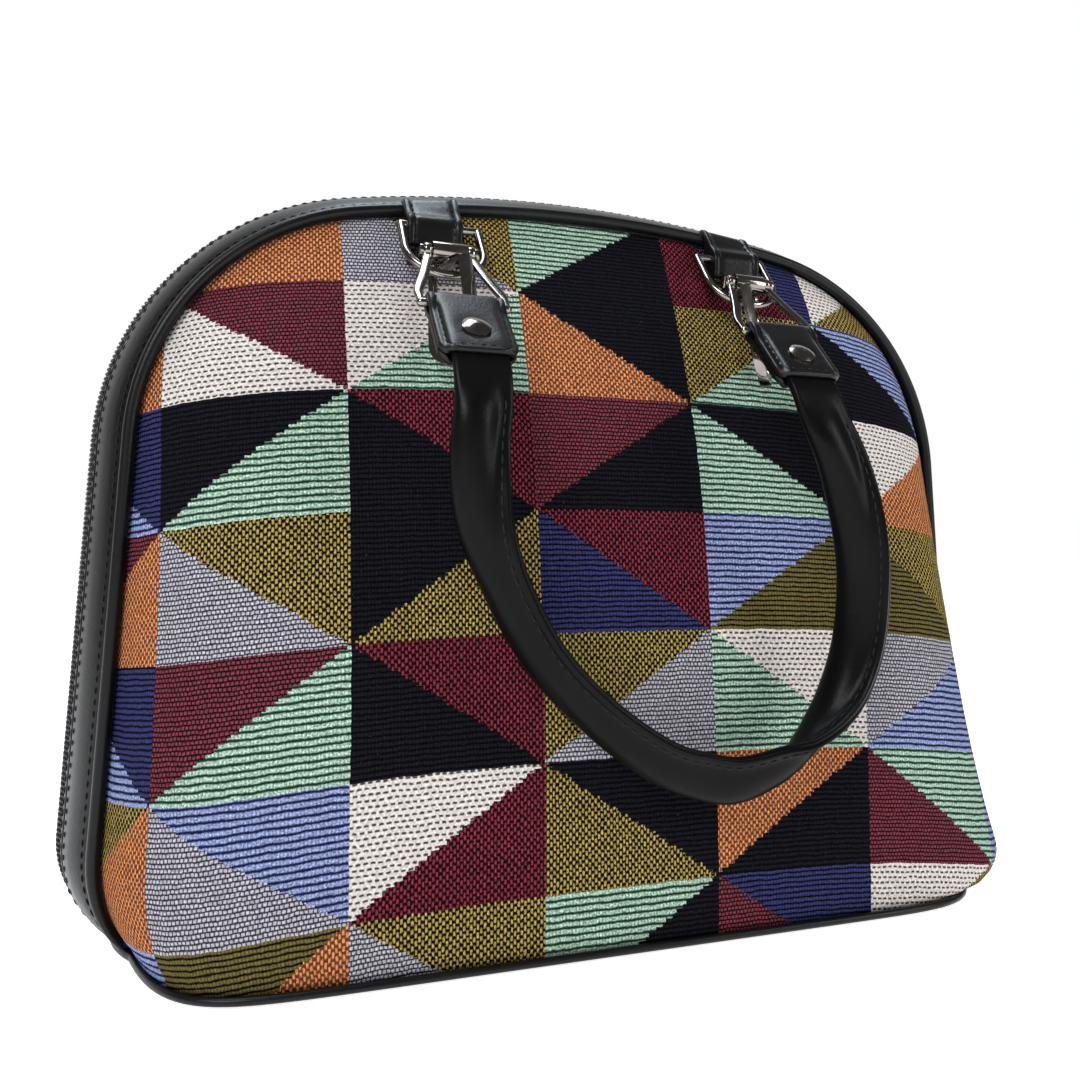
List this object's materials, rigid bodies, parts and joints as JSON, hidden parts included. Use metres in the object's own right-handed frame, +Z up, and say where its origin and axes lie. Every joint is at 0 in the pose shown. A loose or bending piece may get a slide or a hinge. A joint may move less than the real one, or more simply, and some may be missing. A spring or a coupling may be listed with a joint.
{
  "type": "handbag",
  "caption": "Dome handbag that zips round its arch, with pillow-shaped woven patchwork panels, black bands and piping, and padded handles clipped to rings by swivel snap hooks",
  "frame": {"origin": "centre of the base's underside, on the floor", "axes": "+Z up, the front with the handle that the picture shows faces -Y, +X to the viewer's right"},
  "size_m": [0.3687, 0.212, 0.2734],
  "materials": {
    "woven_cloth": "heavy jacquard weave",
    "black_leather": "satin, fine grain",
    "zip_tape": "woven tape",
    "zip_coil": "satin nylon",
    "gunmetal": "polished dark nickel",
    "board": "plain"
  },
  "bodies": {
    "bag": {"front_panel": "woven_cloth", "back_panel": "woven_cloth", "front_band": "black_leather", "back_band": "black_leather", "front_piping": "black_leather", "back_piping": "black_leather", "base_panel": "black_leather", "base_piping": "black_leather", "base_board": "board", "front_zip_tape": "zip_tape", "back_zip_tape": "zip_tape", "zip_coil": "zip_coil", "front_left_tab": "black_leather", "front_right_tab": "black_leather", "back_left_tab": "black_leather", "back_right_tab": "black_leather"},
    "zip_slider": {"zip_slider": "gunmetal"},
    "zip_pull": {"zip_pull": "gunmetal"},
    "front_left_ring": {"front_left_ring": "gunmetal"},
    "front_left_barrel": {"front_left_barrel": "gunmetal"},
    "front_left_claw": {"front_left_claw": "gunmetal"},
    "front_left_gate": {"front_left_gate": "gunmetal"},
    "front_right_ring": {"front_right_ring": "gunmetal"},
    "front_right_barrel": {"front_right_barrel": "gunmetal"},
    "front_right_claw": {"front_right_claw": "gunmetal"},
    "front_right_gate": {"front_right_gate": "gunmetal"},
    "front_handle": {"front_strap": "black_leather", "front_left_loop": "gunmetal", "front_right_loop": "gunmetal", "front_left_flap": "black_leather", "front_right_flap": "black_leather", "front_rivets": "gunmetal"},
    "back_left_ring": {"back_left_ring": "gunmetal"},
    "back_left_barrel": {"back_left_barrel": "gunmetal"},
    "back_left_claw": {"back_left_claw": "gunmetal"},
    "back_left_gate": {"back_left_gate": "gunmetal"},
    "back_right_ring": {"back_right_ring": "gunmetal"},
    "back_right_barrel": {"back_right_barrel": "gunmetal"},
    "back_right_claw": {"back_right_claw": "gunmetal"},
    "back_right_gate": {"back_right_gate": "gunmetal"},
    "back_handle": {"back_strap": "black_leather", "back_left_loop": "gunmetal", "back_right_loop": "gunmetal", "back_left_flap": "black_leather", "back_right_flap": "black_leather", "back_rivets": "gunmetal"}
  },
  "joints": [
    {"name": "front_left_ring_swing", "type": "hinge", "parent": "bag", "child": "front_left_ring", "pos_m": [-0.0585, -0.03959, 0.247], "axis": [-1, 0, 0], "range_deg": [0, 100]},
    {"name": "front_left_hook_hang", "type": "hinge", "parent": "front_left_ring", "child": "front_left_barrel", "pos_m": [-0.0585, -0.05621, 0.22572], "axis": [-1, 0, 0], "range_deg": [-100, 0]},
    {"name": "front_left_swivel", "type": "hinge", "parent": "front_left_barrel", "child": "front_left_claw", "pos_m": [-0.0585, -0.05621, 0.22572], "axis": [0, 0.2924, 0.9563], "range_deg": [-5, 3]},
    {"name": "front_left_gate_press", "type": "hinge", "parent": "front_left_claw", "child": "front_left_gate", "pos_m": [-0.06313, -0.04979, 0.22784], "axis": [-0.766, -0.6147, 0.1879], "range_deg": [0, 18], "stiffness_Nm_per_rad": 0.004, "springref_deg": -5.73},
    {"name": "front_right_ring_swing", "type": "hinge", "parent": "bag", "child": "front_right_ring", "pos_m": [0.0585, -0.03959, 0.247], "axis": [-1, 0, 0], "range_deg": [0, 100]},
    {"name": "front_right_hook_hang", "type": "hinge", "parent": "front_right_ring", "child": "front_right_barrel", "pos_m": [0.0585, -0.05621, 0.22572], "axis": [-1, 0, 0], "range_deg": [-100, 0]},
    {"name": "front_right_swivel", "type": "hinge", "parent": "front_right_barrel", "child": "front_right_claw", "pos_m": [0.0585, -0.05621, 0.22572], "axis": [0, -0.2924, -0.9563], "range_deg": [-5, 3]},
    {"name": "front_right_gate_press", "type": "hinge", "parent": "front_right_claw", "child": "front_right_gate", "pos_m": [0.06313, -0.04979, 0.22784], "axis": [-0.766, 0.6147, -0.1879], "range_deg": [0, 18], "stiffness_Nm_per_rad": 0.004, "springref_deg": -5.73},
    {"name": "front_handle_swing", "type": "hinge", "parent": "front_left_barrel", "child": "front_handle", "pos_m": [-0.0585, -0.05364, 0.23414], "axis": [-1, 0, 0], "range_deg": [0, 120]},
    {"name": "back_left_ring_swing", "type": "hinge", "parent": "bag", "child": "back_left_ring", "pos_m": [-0.0585, 0.03959, 0.247], "axis": [1, 0, 0], "range_deg": [0, 100]},
    {"name": "back_left_hook_hang", "type": "hinge", "parent": "back_left_ring", "child": "back_left_barrel", "pos_m": [-0.0585, 0.05621, 0.22572], "axis": [1, 0, 0], "range_deg": [-100, 0]},
    {"name": "back_left_swivel", "type": "hinge", "parent": "back_left_barrel", "child": "back_left_claw", "pos_m": [-0.0585, 0.05621, 0.22572], "axis": [0, 0.2924, -0.9563], "range_deg": [-5, 3]},
    {"name": "back_left_gate_press", "type": "hinge", "parent": "back_left_claw", "child": "back_left_gate", "pos_m": [-0.06313, 0.04979, 0.22784], "axis": [0.766, -0.6147, -0.1879], "range_deg": [0, 18], "stiffness_Nm_per_rad": 0.004, "springref_deg": -5.73},
    {"name": "back_right_ring_swing", "type": "hinge", "parent": "bag", "child": "back_right_ring", "pos_m": [0.0585, 0.03959, 0.247], "axis": [1, 0, 0], "range_deg": [0, 100]},
    {"name": "back_right_hook_hang", "type": "hinge", "parent": "back_right_ring", "child": "back_right_barrel", "pos_m": [0.0585, 0.05621, 0.22572], "axis": [1, 0, 0], "range_deg": [-100, 0]},
    {"name": "back_right_swivel", "type": "hinge", "parent": "back_right_barrel", "child": "back_right_claw", "pos_m": [0.0585, 0.05621, 0.22572], "axis": [0, -0.2924, 0.9563], "range_deg": [-5, 3]},
    {"name": "back_right_gate_press", "type": "hinge", "parent": "back_right_claw", "child": "back_right_gate", "pos_m": [0.06313, 0.04979, 0.22784], "axis": [0.766, 0.6147, 0.1879], "range_deg": [0, 18], "stiffness_Nm_per_rad": 0.004, "springref_deg": -5.73},
    {"name": "back_handle_swing", "type": "hinge", "parent": "back_left_barrel", "child": "back_handle", "pos_m": [-0.0585, 0.05364, 0.23414], "axis": [1, 0, 0], "range_deg": [0, 120]},
    {"name": "zip_slider_travel", "type": "slide", "parent": "bag", "child": "zip_slider", "axis": [-0.0506, 0, 0.9987], "range_m": [0, 0.115]},
    {"name": "zip_pull_swing", "type": "hinge", "parent": "zip_slider", "child": "zip_pull", "pos_m": [0.18317, 0, 0.04026], "axis": [0, -1, 0], "range_deg": [0, 150]}
  ],
  "couplings": [
    {"joint": "front_right_ring_swing", "follows": "front_left_ring_swing", "ratio": 1},
    {"joint": "front_left_hook_hang", "follows": "front_left_ring_swing", "ratio": -1},
    {"joint": "front_right_hook_hang", "follows": "front_left_ring_swing", "ratio": -1},
    {"joint": "back_right_ring_swing", "follows": "back_left_ring_swing", "ratio": 1},
    {"joint": "back_left_hook_hang", "follows": "back_left_ring_swing", "ratio": -1},
    {"joint": "back_right_hook_hang", "follows": "back_left_ring_swing", "ratio": -1}
  ]
}
